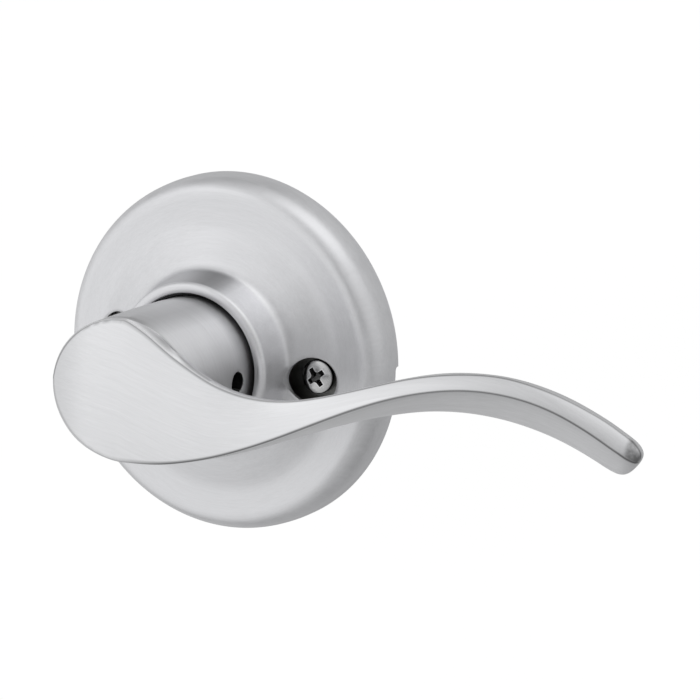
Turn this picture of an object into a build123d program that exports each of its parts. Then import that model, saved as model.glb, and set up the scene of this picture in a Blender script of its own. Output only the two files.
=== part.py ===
from build123d import *
import os
from math import sin, cos, radians, degrees, sqrt, atan2, asin, hypot

# Inside trim half of a tubular passage lever lockset, in millimetres.
# Frame: the origin is where the lever's turning axis meets the door face.
# +X runs from the axis towards the lever's tip, +Y goes into the door,
# +Z is up. Everything in the room has a negative y.
# Names ending in _y, and those that say so, are y positions. Names in _front
# and the outline tables give distances from the door, out into the room.

os.makedirs("parts", exist_ok=True)

# ---------------------------------------------------------------- shared sizes
fit = 0.02                  # gap between pieces that touch
sides = (-1, 1)

# mounting plate
plate_front = 6.0
plate_thick = 1.6
plate_back = plate_front - plate_thick
bearing_seat = 11.5         # radius of the plate's centre hole
ring_wire = 0.45            # radius of the retaining ring's wire
ring_mean = 34.12
ring_y = -2.2

# bearings and turning parts
sleeve_radius = 9.55
bearing_bore = sleeve_radius + 0.05     # running clearance on the sleeve
flat_half = 9.0             # half the distance across the sleeve's two flats
hub_journal = 13.95
bushing_bore = hub_journal + 0.07       # running clearance on the lever's hub
washer_radius = 12.6
clip_groove_radius = 8.55
clip_groove = (13.45, 14.35)            # y of the groove's two walls

# return spring housing, behind the plate and inside the door's cross bore
housing_outer = 20.0
housing_rear_y = 10.5
floor_front_y = -plate_back + fit
floor_rear_y = -3.2
cover_front_y = housing_rear_y + fit
cover_rear_y = cover_front_y + 1.3
lug_circle = 20.6
lug_angles = (50.0, 130.0, 270.0)
lug_radius = 2.4
rivet_circle = 15.6
rivet_angles = (30.0, 150.0, 242.0)
rivet_shank = 1.2
tang_half = 1.82            # half width of the driver's tang and the cover's tab
stop_circle = 16.2
stop_radius = 1.5

# mounting screws
screw_spacing = 45.54
screw_places = [side * screw_spacing / 2 for side in sides]

# spindle and its cross pin
spindle_radius = 4.0
spindle_flat = 3.05         # flat's distance from the axis
pin_y = -12.2
pin_radius = 1.2
pin_hole = pin_radius + 0.03

# lever catch, a spring-loaded nose that moves along X
catch_y = -24.9
catch_z = 0.3
catch_nose = 1.9


# ---------------------------------------------------------------- helpers
def cyl(radius, y0, y1, x=0.0, z=0.0):
    """Solid cylinder along Y between two depths."""
    return Pos(x, (y0 + y1) / 2, z) * Rot(90, 0, 0) * Cylinder(radius, abs(y1 - y0))


def tube(r_out, r_in, y0, y1, x=0.0, z=0.0):
    """Ring along Y with y0 below y1, its bore cut past both ends."""
    return cyl(r_out, y0, y1, x, z) - cyl(r_in, y0 - 1, y1 + 1, x, z)


def catch_rod(radius, x0, x1):
    """Cylinder along X on the catch's axis."""
    return Pos((x0 + x1) / 2, catch_y, catch_z) * Rot(0, 90, 0) * Cylinder(radius, x1 - x0)


def pin_rod(radius, length):
    """Cylinder along Z on the cross pin's axis."""
    return Pos(0, pin_y, 0) * Cylinder(radius, length)


def block(x0, x1, y0, y1, z0, z1):
    """Box from its limits, each pair in either order."""
    middle = Pos((x0 + x1) / 2, (y0 + y1) / 2, (z0 + z1) / 2)
    return middle * Box(abs(x1 - x0), abs(y1 - y0), abs(z1 - z0))


def circles(shape):
    """The circular edges of a shape."""
    return shape.edges().filter_by(GeomType.CIRCLE)


def chain(*points):
    """Straight edges from point to point."""
    return [Line(a, b) for a, b in zip(points, points[1:])]


def outline(table):
    """Outline points from a table of radius and distance from the door."""
    return [(radius, -distance) for radius, distance in table]


def spin(edges):
    """Revolve a closed outline drawn in the XY plane (x is the radius) about Y."""
    return revolve(make_face(edges), Axis.Y, 360)


def sweep_wire(path, radius):
    """Round wire along a path."""
    return sweep(Plane(path @ 0, z_dir=path % 0) * Circle(radius), path=path)


def on_circle(radius, angles):
    """X and Z of points on a circle about the lever's axis."""
    return [(radius * cos(radians(a)), radius * sin(radians(a))) for a in angles]


def one(shape):
    """The single solid in a result."""
    solids = shape.solids()
    assert len(solids) == 1, len(solids)
    return solids[0]


def save(name, built):
    """Write one file from a shape, or from a list with one shape per solid."""
    solids = [one(shape) for shape in (built if isinstance(built, list) else [built])]
    export_step(solids[0] if len(solids) == 1 else Compound(solids), f"parts/{name}.step")


lug_spots = on_circle(lug_circle, lug_angles)
rivet_spots = on_circle(rivet_circle, rivet_angles)

# ---------------------------------------------------------------- rose
# One pressing: a straight rim, a rounded shoulder, a flat ring, a cone that
# climbs to a steep collar, and the collar's mouth rolled inwards.
# Each table row is radius, distance from the door.
rose_radius = 36.0
rose_sheet = 1.0
rose_outer = [  # outside of the pressing, from the rim to the collar
    (36.00, 2.00), (35.84, 4.00), (35.50, 5.70), (35.00, 6.85), (34.40, 7.75),
    (33.70, 8.35), (33.00, 8.62), (31.00, 8.74), (29.00, 8.76), (27.10, 8.90),
    (25.00, 9.45), (22.80, 10.22), (20.60, 11.02), (19.20, 11.72),
    (18.25, 12.65), (17.70, 13.80), (17.15, 16.40), (16.85, 18.80),
]
rose_lip = [    # rolled mouth, from the collar's outside to its opening
    (16.85, 18.80), (16.66, 19.40), (16.30, 19.78), (15.75, 19.95),
    (15.15, 19.92), (14.75, 19.72), (14.60, 19.35),
]
rose_inner = [  # inside of the pressing, from the collar back to the rim
    (15.70, 13.90), (16.55, 12.50), (17.70, 11.10), (19.60, 10.10),
    (22.50, 8.95), (24.80, 8.15), (27.00, 7.68), (29.50, 7.55), (32.60, 7.50),
    (33.40, 7.10), (33.95, 6.45), (34.45, 5.50), (34.84, 4.00), (35.00, 2.40),
]
lip_back_y = -18.95
bead_radius = 34.4          # inward bead that snaps behind the retaining ring
bead_y = -1.05
bead_half = 0.5
rose_screw_hole = 4.6       # radius
notch_half_width = 4.5      # pry notch in the rear rim, on the +X side
notch_depth = 1.3
notch_corner = 0.9


def rose():
    outer, lip, inner = outline(rose_outer), outline(rose_lip), outline(rose_inner)
    rim_inner = rose_radius - rose_sheet
    bead_front = (rim_inner, bead_y - bead_half)
    bead_rear = (rim_inner, bead_y + bead_half)
    steep = (-0.125, -1)    # direction where the collar meets its lip
    body = spin([
        *chain((rim_inner, 0), (rose_radius, 0), outer[0]),
        Spline(outer, tangents=[(0, -1), steep]),
        Spline(lip, tangents=[steep, (0, 1)]),
        *chain(lip[-1], (lip[-1][0], lip_back_y), (inner[0][0], lip_back_y), inner[0]),
        Spline(inner, tangents=[(0, 1), (0, 1)]),
        Line(inner[-1], bead_front),
        ThreePointArc(bead_front, (bead_radius, bead_y), bead_rear),
        Line(bead_rear, (rim_inner, 0)),
    ])
    for x in screw_places:
        body -= cyl(rose_screw_hole, -16.5, -4.0, x)
    notch = block(33.5, 37.5, -notch_depth, 1.0, -notch_half_width, notch_half_width)
    notch = fillet(notch.edges().filter_by(Axis.X).sort_by(Axis.Y)[:2], notch_corner)
    return body - notch


def rose_bushing():
    """Nylon ring in the collar that carries the lever's hub."""
    body = tube(15.66, bushing_bore, -18.6, -14.0)
    return chamfer(circles(body), 0.25)


# ---------------------------------------------------------------- plate
# A shallow flanged pan that stands on the door.
plate_rim = 34.0
plate_flange = 1.2
plate_screw_hole = 2.3
window_circle = 27.0
window_angles = (60, 120, 240, 300)
window_size = (11, 4.5)
window_corner = 1.8


def mounting_plate():
    body = cyl(plate_rim, -plate_front, -plate_back)
    body += tube(plate_rim, plate_rim - plate_flange, -plate_front, 0)
    front_rim = circles(body).group_by(Axis.Y)[0].sort_by(SortBy.RADIUS)[-1]
    body = fillet(front_rim, 0.6)
    # groove for the snap ring
    body -= tube(plate_rim + 1, ring_mean - ring_wire - 0.03, ring_y - 0.5, ring_y + 0.5)
    through = (-8, 0)
    body -= cyl(bearing_seat, *through)
    for x in screw_places:
        body -= cyl(plate_screw_hole, *through, x)
    for x, z in rivet_spots:
        body -= cyl(rivet_shank + fit, *through, x, z)
    # rounded windows, clear of the screws
    middle_y = -(plate_front + plate_back) / 2
    for angle, (x, z) in zip(window_angles, on_circle(window_circle, window_angles)):
        window = Pos(x, middle_y, z) * Rot(90, 0, 0) * Rot(0, 0, 90 - angle) * Box(*window_size, 6)
        body -= fillet(window.edges().filter_by(Axis.Y), window_corner)
    return body


def rose_snap_ring():
    """Spring ring in the flange's groove, open at the bottom."""
    gap = 14.0              # degrees
    arc = CenterArc((0, 0, 0), ring_mean, 270 + gap / 2, 360 - gap)
    return sweep_wire(Pos(0, ring_y, 0) * Rot(90, 0, 0) * arc, ring_wire)


def plate_bearing():
    """Flanged bearing bush pressed into the plate."""
    body = tube(bearing_seat - fit, bearing_bore, -plate_front - 0.5, -2.6)
    return body + tube(13.0, bearing_bore, -plate_front - 1.0, -plate_front - fit)


# ---------------------------------------------------------------- housing
def spring_housing():
    """Cup open to the rear, with three screw lugs on its wall."""
    cavity = cyl(18.4, floor_rear_y, housing_rear_y + 1)
    floor_cut = (floor_front_y - 1, floor_rear_y + 1)
    body = cyl(housing_outer, floor_front_y, housing_rear_y) - cavity
    for x, z in lug_spots:
        body += cyl(lug_radius, floor_front_y, housing_rear_y, x, z)
    body -= cavity          # clears what the lugs added inside
    body -= cyl(bearing_seat + fit, *floor_cut)
    for x, z in rivet_spots:
        body -= cyl(rivet_shank + fit, *floor_cut, x, z)
    for x, z in lug_spots:
        body -= cyl(0.95, housing_rear_y - 8.0, housing_rear_y + 1, x, z)
    return body - cyl(stop_radius + fit, *floor_cut, 0, -stop_circle)


def housing_cover():
    """Rear cover, with the tab that holds the still end of the spring."""
    through = (cover_front_y - 1, cover_rear_y + 1)
    body = cyl(housing_outer, cover_front_y, cover_rear_y)
    for x, z in lug_spots:
        body += cyl(lug_radius, cover_front_y, cover_rear_y, x, z)
    body -= cyl(bearing_bore, *through)
    for x, z in lug_spots:
        body -= cyl(1.15, *through, x, z)
    tab = block(-tang_half, tang_half, 1.5, cover_front_y + 0.3, 14.55, 16.1)
    tab = fillet(tab.edges().filter_by(Axis.Z).sort_by(Axis.Y)[:2], 0.8)
    return body + tab


def cover_screw(x, z):
    """Small pan-head screw with a cross recess, its head at the rear."""
    seat_y = cover_rear_y + fit
    head, height = 1.9, 1.3
    rounding = height * 0.55
    shank = cyl(0.9, seat_y, seat_y - 8.0, x, z)
    cap = cyl(head, seat_y, seat_y + height, x, z)
    cap = fillet(circles(cap).sort_by(Axis.Y)[-1], rounding)
    for turn in (0, 90):
        slot = Rot(0, turn, 0) * Box(head * 1.1, rounding * 2, head * 0.24)
        cap -= Pos(x, seat_y + height, z) * slot
    return shank + cap


def cover_screws():
    return [cover_screw(x, z) for x, z in lug_spots]


def housing_rivet(x, z):
    """Rivet with a head in front of the plate and one behind the housing floor."""
    shank = cyl(rivet_shank, -plate_front - 0.4, floor_rear_y + 0.3, x, z)
    front = cyl(2.0, -plate_front - 0.85, -plate_front - fit, x, z)
    front = fillet(circles(front).sort_by(Axis.Y)[0], 0.5)
    back = cyl(1.9, floor_rear_y + fit, floor_rear_y + 0.75, x, z)
    back = fillet(circles(back).sort_by(Axis.Y)[-1], 0.4)
    return shank + front + back


def housing_rivets():
    return [housing_rivet(x, z) for x, z in rivet_spots]


def stop_pin():
    """Pin that ends the lever's swing."""
    body = cyl(stop_radius, floor_front_y + 0.1, 2.4, 0, -stop_circle)
    return chamfer(circles(body), 0.25)


# ---------------------------------------------------------------- return spring
# Torsion spring: three turns, then both ends bend outwards into parallel
# legs that straddle the cover's tab and the driver's tang.
spring_mean = 13.4
spring_wire = 0.9           # radius
spring_front_y = 2.4
spring_rear_y = 8.6
spring_turns = 3
coil_steps = 56
leg_x = 2.75
leg_top = 17.5
leg_bend = 1.6              # radius of the bend between coil and leg
bend_x = leg_x + leg_bend
bend_z = sqrt((spring_mean + leg_bend) ** 2 - bend_x ** 2)
coil_start = degrees(atan2(bend_z, bend_x))
coil_sweep = 360.0 * spring_turns - 2 * (90.0 - coil_start)


def spring_leg(side, y):
    """Points of one leg, from its free end to where the coil begins."""
    points = [(side * leg_x, y, leg_top), (side * leg_x, y, (leg_top + bend_z) / 2)]
    for i in range(7):
        a = radians(180.0 + coil_start * i / 6)
        points.append((side * (bend_x + leg_bend * cos(a)), y, bend_z + leg_bend * sin(a)))
    return points


def eased(k, ramp=0.07):
    """Rise of the coil along its length, level where it meets the legs."""
    full = 1.0 - ramp
    if k < ramp:
        return k * k / (2 * ramp) / full
    if k > 1 - ramp:
        return 1.0 - (1 - k) ** 2 / (2 * ramp) / full
    return (k - ramp / 2) / full


def return_spring():
    coil = []
    for i in range(1, coil_steps):
        a = radians(coil_start - coil_sweep * i / coil_steps)
        y = spring_front_y + (spring_rear_y - spring_front_y) * eased(i / coil_steps)
        coil.append((spring_mean * cos(a), y, spring_mean * sin(a)))
    points = spring_leg(1, spring_front_y) + coil + spring_leg(-1, spring_rear_y)[::-1]
    return sweep_wire(Spline(points), spring_wire)


# ---------------------------------------------------------------- mounting screws
# Two long machine screws with oval fillister heads and cross recesses.
screw_radius = 2.08
screw_head = 3.4            # radius
screw_crown_y = -9.1
screw_end_y = 19.4
thread_start_y = 2.0
thread_pitch = 0.79
thread_depth = 0.42
thread_root = screw_radius - thread_depth


def thread_ribs():
    """Outline points of the ribbed shank, front to rear."""
    points = []
    y = thread_start_y
    while y + thread_pitch <= screw_end_y - 1.2 + 1e-6:
        points += [(thread_root, y + thread_pitch * 0.30), (screw_radius, y + thread_pitch * 0.65),
                   (screw_radius, y + thread_pitch * 0.78), (thread_root, y + thread_pitch)]
        y += thread_pitch
    return points


def recess_end(y, length, width):
    """Cross-section of a recess wing at one depth."""
    return Plane(origin=(0, y, 0), x_dir=(1, 0, 0), z_dir=(0, 1, 0)) * Rectangle(length, width)


def mounting_screw(x):
    """One mounting screw, its head in the room."""
    crown = (0, screw_crown_y)
    under_y = -plate_front - fit
    head_edge = (screw_head, screw_crown_y + 0.65)
    side_edges = chain(
        (0, screw_end_y), (screw_radius - 0.9, screw_end_y), (thread_root, screw_end_y - 0.6),
        *thread_ribs()[::-1],
        (screw_radius, thread_start_y - 0.3), (screw_radius, under_y),
        (screw_head - 0.15, under_y), (screw_head, under_y - 0.15), head_edge)
    dome = ThreePointArc(head_edge, (screw_head * 0.62, screw_crown_y + 0.19), crown)
    body = spin(side_edges + [dome, Line(crown, (0, screw_end_y))])
    # cross recess turned 45 degrees, tapering towards its floor
    mouth_y = screw_crown_y - 0.3
    wing = loft([recess_end(mouth_y, 4.0, 0.92), recess_end(screw_crown_y + 1.75, 1.6, 0.62)])
    recess = Rot(0, 45, 0) * wing + Rot(0, 135, 0) * wing
    body = body - (recess + cyl(0.95, mouth_y, screw_crown_y + 1.7))
    return Pos(x, 0, 0) * one(body)


def mounting_screws():
    return [mounting_screw(x) for x in screw_places]


# ---------------------------------------------------------------- lever
hub_rear = 9.3
hub_chamfer = 0.4
# hub's side and rounded front edge: radius, distance from the door
hub_side = [(hub_journal, 20.0), (14.14, 24.0), (14.20, 28.0), (14.26, 32.0),
            (14.31, 36.0), (14.37, 40.0), (14.42, 43.6)]
hub_edge = [(14.38, 44.5), (14.05, 45.15)]
hub_nose = 46.4
socket_radius = 9.6
socket_front = 37.6
release_hole = 2.2          # radius

# outline of the lever's head beyond the hub: angle from +X, radius
head_outline = [(0, 14.0), (45, 14.0), (80, 14.0), (100, 14.1), (112, 14.3), (127, 14.5),
                (144, 14.8), (160, 15.1), (180, 15.5), (202, 15.4), (215, 15.2), (228, 15.0),
                (244, 14.55), (258, 14.1), (275, 13.9), (315, 13.9)]
head_round = 13.9           # radius of the head where it is still a circle
head_crown = 46.3
head_sphere = 80.0          # radius of the shallow dome on the head's front

# Lever arm. One row per cross-section of the wave-shaped arm:
# x and z of the section's centre, its lean in degrees, then (distance from
# the door, height in the section) of the lower front crease, the upper front
# ridge, the upper back limb and the lower back limb, then the distance of
# the rounded back and the scale of the section (it closes up at the tip).
arm = [
    (-3.0, -0.10, 0.0, (45.00, -13.55), (45.00, 13.40), (44.00, 13.20), (44.40, -13.40), 43.0, 1.0),
    (2.0, -0.50, 0.0, (45.12, -13.30), (45.12, 13.05), (43.80, 12.90), (44.50, -13.20), 42.0, 1.0),
    (6.0, -1.10, 0.0, (45.18, -12.20), (45.12, 12.35), (43.70, 12.25), (44.40, -12.20), 39.5, 1.0),
    (10.0, -1.75, 0.0, (45.22, -10.80), (45.10, 10.90), (43.60, 10.80), (44.30, -10.85), 37.6, 1.0),
    (14.5, -2.15, 0.0, (45.30, -9.15), (45.06, 9.35), (43.50, 9.25), (44.10, -9.35), 36.5, 1.0),
    (19.0, -2.25, 0.0, (45.38, -7.54), (44.94, 7.65), (43.40, 7.48), (43.90, -7.85), 35.9, 1.0),
    (24.0, -1.95, 1.0, (45.46, -5.79), (44.60, 6.13), (43.12, 5.97), (43.30, -6.32), 35.5, 1.0),
    (30.0, -0.85, 4.0, (45.54, -4.02), (44.10, 4.67), (42.65, 4.51), (42.50, -4.93), 35.3, 1.0),
    (36.0, 0.87, 10.1, (45.59, -2.56), (43.83, 3.73), (42.44, 3.58), (41.77, -3.82), 35.2, 1.0),
    (42.0, 3.02, 15.4, (45.59, -1.46), (43.75, 3.26), (42.45, 3.17), (41.12, -3.23), 35.2, 1.0),
    (48.0, 5.35, 18.7, (45.51, -0.63), (43.67, 3.12), (42.31, 3.06), (40.58, -3.06), 35.2, 1.0),
    (54.0, 7.59, 18.1, (45.38, 0.02), (43.56, 3.23), (42.05, 3.21), (40.12, -3.19), 35.2, 1.0),
    (60.0, 9.50, 15.0, (45.20, 0.58), (43.35, 3.61), (41.65, 3.58), (39.76, -3.32), 35.2, 1.0),
    (66.0, 10.89, 9.1, (44.94, 1.12), (43.00, 4.04), (41.02, 4.03), (39.52, -3.53), 35.0, 1.0),
    (72.0, 11.64, 3.5, (44.55, 1.64), (42.51, 4.53), (40.16, 4.30), (39.32, -3.73), 34.9, 1.0),
    (78.0, 11.67, -1.9, (44.06, 2.04), (41.92, 5.00), (39.09, 4.46), (39.10, -3.81), 34.6, 1.0),
    (84.0, 10.95, -8.0, (43.50, 2.31), (41.28, 5.09), (38.39, 4.52), (38.80, -3.80), 34.4, 1.0),
    (89.0, 9.81, -13.6, (42.93, 2.29), (40.59, 5.03), (37.78, 4.44), (38.46, -3.74), 34.2, 1.0),
    (93.5, 8.41, -18.8, (42.36, 2.01), (39.85, 4.84), (37.04, 4.14), (38.13, -3.80), 34.0, 1.0),
    (97.2, 7.01, -23.1, (41.88, 1.72), (39.24, 4.63), (36.39, 3.83), (37.87, -3.84), 33.9, 1.0),
    (99.8, 5.75, -26.1, (41.50, 1.60), (38.86, 4.45), (35.96, 3.64), (37.70, -3.70), 33.9, 1.0),
    (101.0, 5.26, -27.0, (41.30, 1.50), (38.67, 4.35), (35.77, 3.55), (37.60, -3.70), 33.9, 0.978),
    (102.1, 4.70, -27.9, (41.30, 1.50), (38.56, 4.32), (35.66, 3.52), (37.60, -3.70), 33.8, 0.895),
    (103.0, 4.25, -28.4, (41.30, 1.50), (38.51, 4.29), (35.61, 3.49), (37.60, -3.70), 33.8, 0.752),
    (103.6, 3.95, -28.8, (41.30, 1.50), (38.49, 4.28), (35.59, 3.48), (37.60, -3.70), 33.8, 0.580),
    (103.95, 3.78, -29.0, (41.30, 1.50), (38.47, 4.27), (35.57, 3.47), (37.60, -3.70), 33.8, 0.406),
    (104.12, 3.70, -29.1, (41.30, 1.50), (38.47, 4.27), (35.57, 3.47), (37.60, -3.70), 33.8, 0.250),
]
tip_distance, tip_height = 37.8, 2.0    # the point of a section that the tip closes on
face_bulge = 0.045                      # rise of the arm's face over its width


def lever_hub():
    """Turned hub with a shallow nose."""
    side, edge = outline(hub_side), outline(hub_edge)
    rear_y, nose = -hub_rear, (0, -hub_nose)
    side_end, dome_start = (0.01, -1), (-1, -0.28)      # directions
    return spin([
        *chain((0, rear_y), (hub_journal - hub_chamfer, rear_y),
               (hub_journal, rear_y - hub_chamfer), side[0]),
        Spline(side, tangents=[(0, -1), side_end]),
        Spline([side[-1], *edge], tangents=[side_end, dome_start]),
        Spline([edge[-1], (9.5, -45.95), nose], tangents=[dome_start, (-1, 0)]),
        Line(nose, (0, rear_y)),
    ])


def head_wire(y, swell):
    """Outline between a circle (swell 0) and the head's own outline (swell 1)."""
    points = []
    for angle, radius in head_outline:
        swollen = head_round + (radius - head_round) * swell
        points.append((swollen * cos(radians(angle)), y, swollen * sin(radians(angle))))
    return Wire([Spline(points, periodic=True)])


def arm_section(x0, z0, lean, crease, ridge, upper, lower, back, scale):
    """Closed outline of one arm section: face, top strip, back, underside."""

    def place(distance, height):
        d = tip_distance + (distance - tip_distance) * scale
        h = tip_height + (height - tip_height) * scale
        return (x0 - h * sin(radians(lean)), -d, z0 + h * cos(radians(lean)))

    # the face bows out from the straight line between crease and ridge
    across, rise = ridge[0] - crease[0], ridge[1] - crease[1]
    width = hypot(across, rise)
    face = [crease]
    for t in (0.25, 0.5, 0.75):
        bow = face_bulge * width * 4 * t * (1 - t)
        face.append((crease[0] + across * t + rise / width * bow,
                     crease[1] + rise * t - across / width * bow))
    face.append(ridge)
    span = upper[1] - lower[1]
    rear = [upper,
            (back + (upper[0] - back) * 0.42, lower[1] + span * 0.86),
            (back, lower[1] + span * 0.50),
            (back + (lower[0] - back) * 0.42, lower[1] + span * 0.14),
            lower]
    return Wire([
        Spline([place(*point) for point in face]),
        Line(place(*ridge), place(*upper)),
        Spline([place(*point) for point in rear]),
        Line(place(*lower), place(*crease)),
    ])


def lever():
    # the head swells out from the hub's far side; its front is a shallow dome
    head = Solid.make_loft([head_wire(-31.0, 0.0), head_wire(-47.0, 1.15)])
    head &= Pos(0, head_sphere - head_crown, 0) * Sphere(head_sphere)
    body = lever_hub() + head
    body = body + Solid.make_loft([arm_section(*row) for row in arm])
    body -= cyl(socket_radius, -socket_front, 0)
    # two keys in the socket that fit the sleeve's slots
    for side in sides:
        body += block(-1.5, 1.5, -socket_front - 0.5, -30.0,
                      side * 8.05, side * (socket_radius + 0.6))
    return body - catch_rod(release_hole, 7.5, 16.5)


# ---------------------------------------------------------------- sleeve and driver
sleeve_bore = 7.9
sleeve_front = 37.5
sleeve_rear_y = 14.9
shoulder_radius = 12.5


def drive_sleeve():
    body = cyl(sleeve_radius, -sleeve_front, sleeve_rear_y)
    body += cyl(shoulder_radius, -9.1, -7.35)
    # bored from both ends, leaving a web with a D-shaped hole for the spindle
    body -= cyl(sleeve_bore, -sleeve_front - 1, -15.2)
    body -= cyl(sleeve_bore, -9.2, sleeve_rear_y + 1)
    body -= cyl(spindle_radius + 0.03, -16, -8) - block(-6, 6, -17, -7, spindle_flat + 0.03, 6)
    for side in sides:
        # flat at the rear end, key slot at the front end
        body -= block(side * flat_half, side * 12, -1.2, sleeve_rear_y + 1, -12, 12)
        body -= block(-1.55, 1.55, -sleeve_front - 1, -29.8, side * 6.0, side * 12.0)
    body -= pin_rod(pin_hole, 24)
    body -= catch_rod(catch_nose + 0.05, 5.0, 11.0)
    return body - tube(13, clip_groove_radius, *clip_groove)


def spring_driver():
    """Plate that the sleeve turns: tang for the spring, shoulders for the stop."""
    half_thick = 0.9
    lever_swing = 50.0      # degrees each way
    notch_half = lever_swing + degrees(asin(stop_radius / stop_circle)) + 0.4
    body = cyl(17.9, -half_thick, half_thick)
    # notch in the bottom of the rim, where the stop pin runs
    angles = [270 - notch_half + 2 * notch_half * i / 12 for i in range(13)]
    face = make_face(Polyline((0, 0), *on_circle(30, angles), close=True))
    sector = extrude(Plane(origin=(0, -3, 0), x_dir=(1, 0, 0), z_dir=(0, -1, 0)) * face, amount=-6)
    sector -= cyl(14.4, -5, 5)
    body -= sector
    flat = flat_half + fit
    body -= cyl(sleeve_radius + fit, -2, 2) & block(-flat, flat, -2, 2, -12, 12)
    return body + block(-tang_half, tang_half, -half_thick, 9.6, 16.35, 17.8)


# ---------------------------------------------------------------- washers and clip
def thrust_washer():
    return tube(washer_radius, sleeve_radius + 0.12, -7.32, -7.03)


def disc_spring_washer():
    """Conical washer."""
    bore = 9.72
    return spin(chain((bore, 12.95), (bore, 13.40), (washer_radius, 12.33),
                      (washer_radius, 11.88), (bore, 12.95)))


def retaining_clip():
    """Ring open at the bottom, with an eye at each end."""
    faces = (clip_groove[0] + fit, clip_groove[1] - fit)
    through = (13, 15)
    eye_x, eye_z, eye_hole = 7.2, -8.1, 0.6
    body = tube(11.8, clip_groove_radius + 0.05, *faces)
    body -= block(-6.0, 6.0, *through, -13, -3)
    for side in sides:
        body += tube(1.5, eye_hole, *faces, side * eye_x, eye_z)
        body -= cyl(eye_hole, *through, side * eye_x, eye_z)
    return body


# ---------------------------------------------------------------- spindle
spindle_front_y = -15.0
spindle_end_y = 38.0


def spindle():
    """Rod with one flat, a cross hole and a shallow neck behind the sleeve."""
    body = cyl(spindle_radius, spindle_front_y, spindle_end_y)
    body = chamfer(circles(body), 0.5)
    body -= block(-6, 6, spindle_front_y - 1, spindle_end_y + 1, spindle_flat, 6)
    body -= pin_rod(pin_hole, 24)
    return body - tube(6.0, 3.6, 15.4, 16.5)


def spindle_pin():
    return chamfer(circles(pin_rod(pin_radius, 18.6)), 0.2)


# ---------------------------------------------------------------- catch
catch_stem = 1.15           # radius of the stems inside the catch spring's ends


def lever_catch():
    nose = catch_rod(catch_nose, 6.6, 11.9)
    nose = fillet(circles(nose).sort_by(Axis.X)[-1], 0.7)
    return nose + catch_rod(3.1, 5.6, 7.1) + catch_rod(catch_stem, 1.2, 5.8)


def catch_spring_seat():
    return catch_rod(2.9, -7.05, -6.1) + catch_rod(catch_stem, -6.2, -4.2)


def catch_spring():
    mean, turns = 1.75, 6
    x0, x1 = 5.25, -5.75
    steps = turns * 12
    points = []
    for i in range(steps + 1):
        a = radians(30.0 * i)
        points.append((x0 + (x1 - x0) * i / steps, catch_y + mean * cos(a),
                       catch_z + mean * sin(a)))
    return sweep_wire(Spline(points), 0.3)


# Each file takes the name of the function that builds its piece.
for build in (
        rose, rose_bushing, mounting_plate, rose_snap_ring, plate_bearing,
        spring_housing, housing_cover, cover_screws, housing_rivets, stop_pin,
        return_spring, mounting_screws, lever, drive_sleeve, spring_driver,
        thrust_washer, disc_spring_washer, retaining_clip, spindle, spindle_pin,
        lever_catch, catch_spring_seat, catch_spring):
    save(build.__name__, build())
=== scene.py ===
"""Door lever lockset: a cast lever, a turned rose, two mounting screws and a spring catch.

The door's face lies in the plane y = 0 and the outer trim stands in front of it, at -Y.
The spindle's axis is the Y axis, the lever's arm runs out along +X, and Z is up.
Sizes are in millimetres and become metres when a mesh is built; lights are in metres.
"""
import math
import bpy
import bmesh
import numpy as np
from mathutils import Matrix, Vector
from mathutils.kdtree import KDTree


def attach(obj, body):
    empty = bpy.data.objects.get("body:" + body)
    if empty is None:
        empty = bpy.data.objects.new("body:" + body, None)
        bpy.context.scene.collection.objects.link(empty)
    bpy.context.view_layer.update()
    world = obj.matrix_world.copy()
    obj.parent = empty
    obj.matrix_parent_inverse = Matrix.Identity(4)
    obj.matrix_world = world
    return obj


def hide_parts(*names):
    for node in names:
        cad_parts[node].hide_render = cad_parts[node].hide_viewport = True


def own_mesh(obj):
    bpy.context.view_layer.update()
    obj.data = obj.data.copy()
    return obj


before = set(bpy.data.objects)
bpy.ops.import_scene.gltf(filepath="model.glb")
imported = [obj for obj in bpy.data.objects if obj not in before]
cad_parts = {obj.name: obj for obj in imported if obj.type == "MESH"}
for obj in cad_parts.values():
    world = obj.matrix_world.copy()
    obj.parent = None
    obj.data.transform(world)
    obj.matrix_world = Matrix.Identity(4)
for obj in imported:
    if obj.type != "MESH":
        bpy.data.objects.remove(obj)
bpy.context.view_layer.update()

MM = 0.001

# Release hole in the lever's hub, and the catch behind it, along X
CATCH_Y, CATCH_Z, RELEASE_R = -24.9, 0.3, 2.2


# ------------------------------------------------------------ curve helpers
def natural_spline(x, y):
    """Natural cubic spline through rows of y at x; straight beyond the last."""
    x = np.asarray(x, float)
    y = np.asarray(y, float)
    flat = y.ndim == 1
    y = y[:, None] if flat else y
    n = len(x)
    h = np.diff(x)
    system = np.zeros((n, n))
    right = np.zeros((n, y.shape[1]))
    system[0, 0] = system[-1, -1] = 1.0
    for i in range(1, n - 1):
        system[i, i - 1:i + 2] = h[i - 1], 2 * (h[i - 1] + h[i]), h[i]
        right[i] = 6 * ((y[i + 1] - y[i]) / h[i] - (y[i] - y[i - 1]) / h[i - 1])
    bend = np.linalg.solve(system, right)         # second derivative at each knot

    def at(q):
        q = np.atleast_1d(np.asarray(q, float))
        k = np.clip(np.searchsorted(x, q) - 1, 0, n - 2)
        ahead, behind = (x[k + 1] - q)[:, None], (q - x[k])[:, None]
        hk = h[k][:, None]
        out = (bend[k] * ahead ** 3 + bend[k + 1] * behind ** 3) / (6 * hk)
        out += (y[k] / hk - bend[k] * hk / 6) * ahead
        out += (y[k + 1] / hk - bend[k + 1] * hk / 6) * behind
        past = q > x[-1]
        if past.any():
            slope = (y[-1] - y[-2]) / h[-1] + h[-1] / 6 * (bend[-2] + 2 * bend[-1])
            out[past] = y[-1] + (q[past] - x[-1])[:, None] * slope
        return out[:, 0] if flat else out
    return at


def smoothstep(t):
    t = np.clip(t, 0.0, 1.0)
    return t * t * (3 - 2 * t)


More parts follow.
